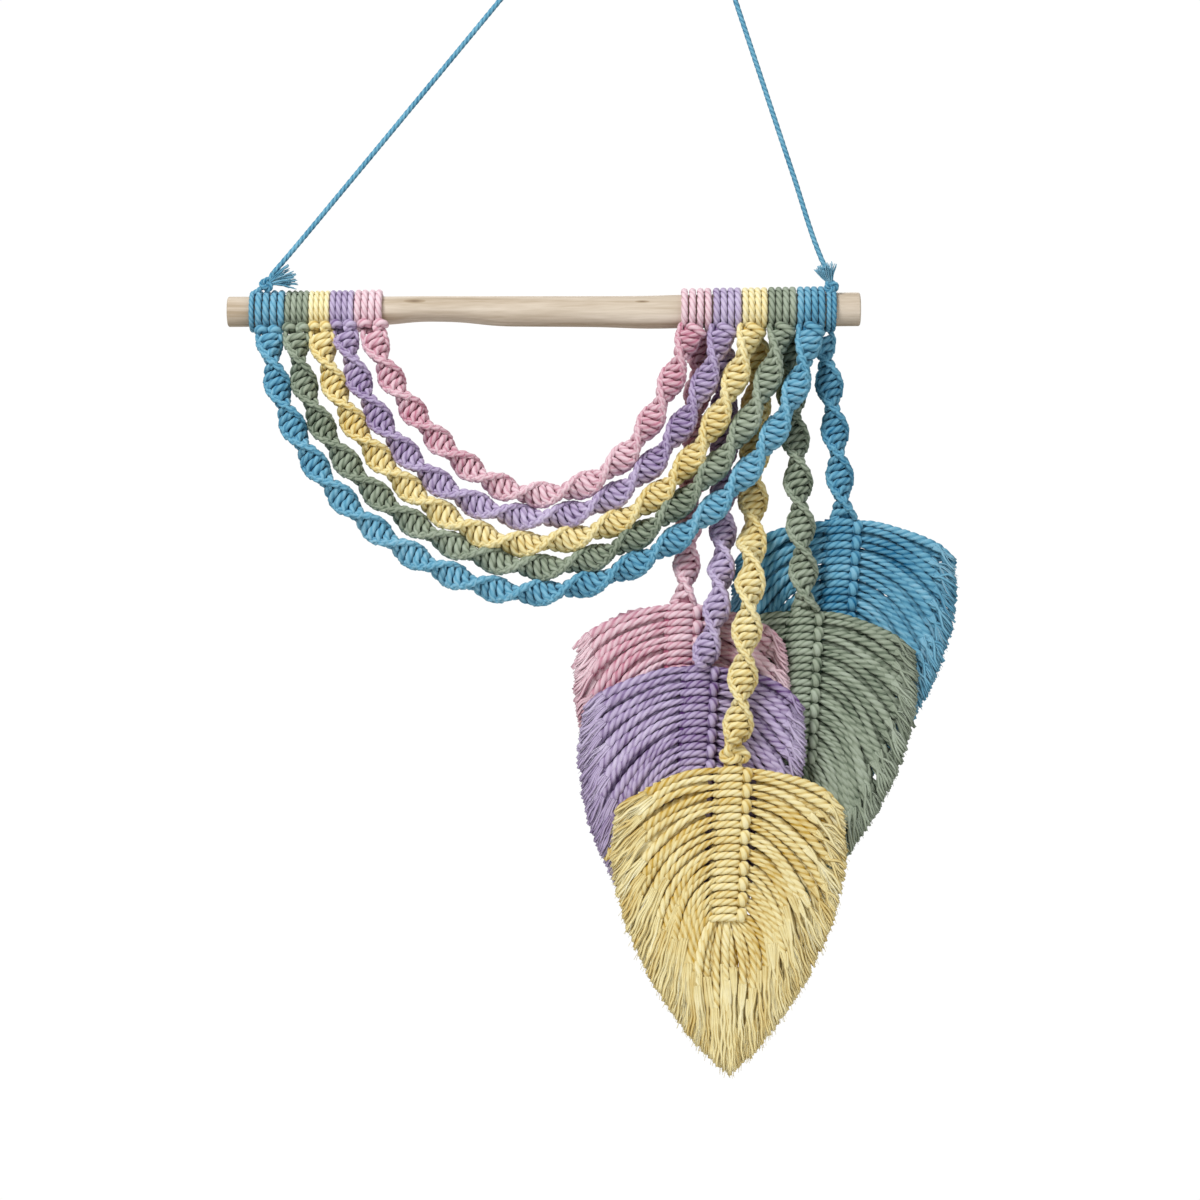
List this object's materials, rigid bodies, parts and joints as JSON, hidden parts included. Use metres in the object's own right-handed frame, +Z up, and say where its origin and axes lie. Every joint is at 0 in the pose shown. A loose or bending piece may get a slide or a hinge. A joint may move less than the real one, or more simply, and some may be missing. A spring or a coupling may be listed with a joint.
{
  "type": "macrame leaf wall hanging with its dowel",
  "caption": "Macrame wall hanging: nested spiral-knotted garlands on a wooden dowel, whose cords go on as twisted tails to layered feather leaves, on a cord for a hook.",
  "frame": {"origin": "where the hanging cord rides on its hook, at the top of the hanging", "axes": "+Z up, +X along the dowel to the side of the leaves, -Y the front, away from the wall"},
  "size_m": [0.3685, 0.0355, 0.6323],
  "materials": {
    "dowel_wood": "bare, sanded",
    "cord_pink": "matt three-ply cotton cord",
    "cord_purple": "matt three-ply cotton cord",
    "cord_yellow": "matt three-ply cotton cord",
    "cord_green": "matt three-ply cotton cord",
    "cord_blue": "matt three-ply cotton cord"
  },
  "bodies": {
    "root": {"dowel": "dowel_wood", "hanging_cord": "cord_blue", "left_tie": "cord_blue", "right_tie": "cord_blue", "pink_garland": "cord_pink", "purple_garland": "cord_purple", "yellow_garland": "cord_yellow", "green_garland": "cord_green", "blue_garland": "cord_blue", "pink_tail": "cord_pink", "purple_tail": "cord_purple", "yellow_tail": "cord_yellow", "green_tail": "cord_green", "blue_tail": "cord_blue", "pink_leaf": "cord_pink", "purple_leaf": "cord_purple", "yellow_leaf": "cord_yellow", "green_leaf": "cord_green", "blue_leaf": "cord_blue"}
  },
  "joints": []
}
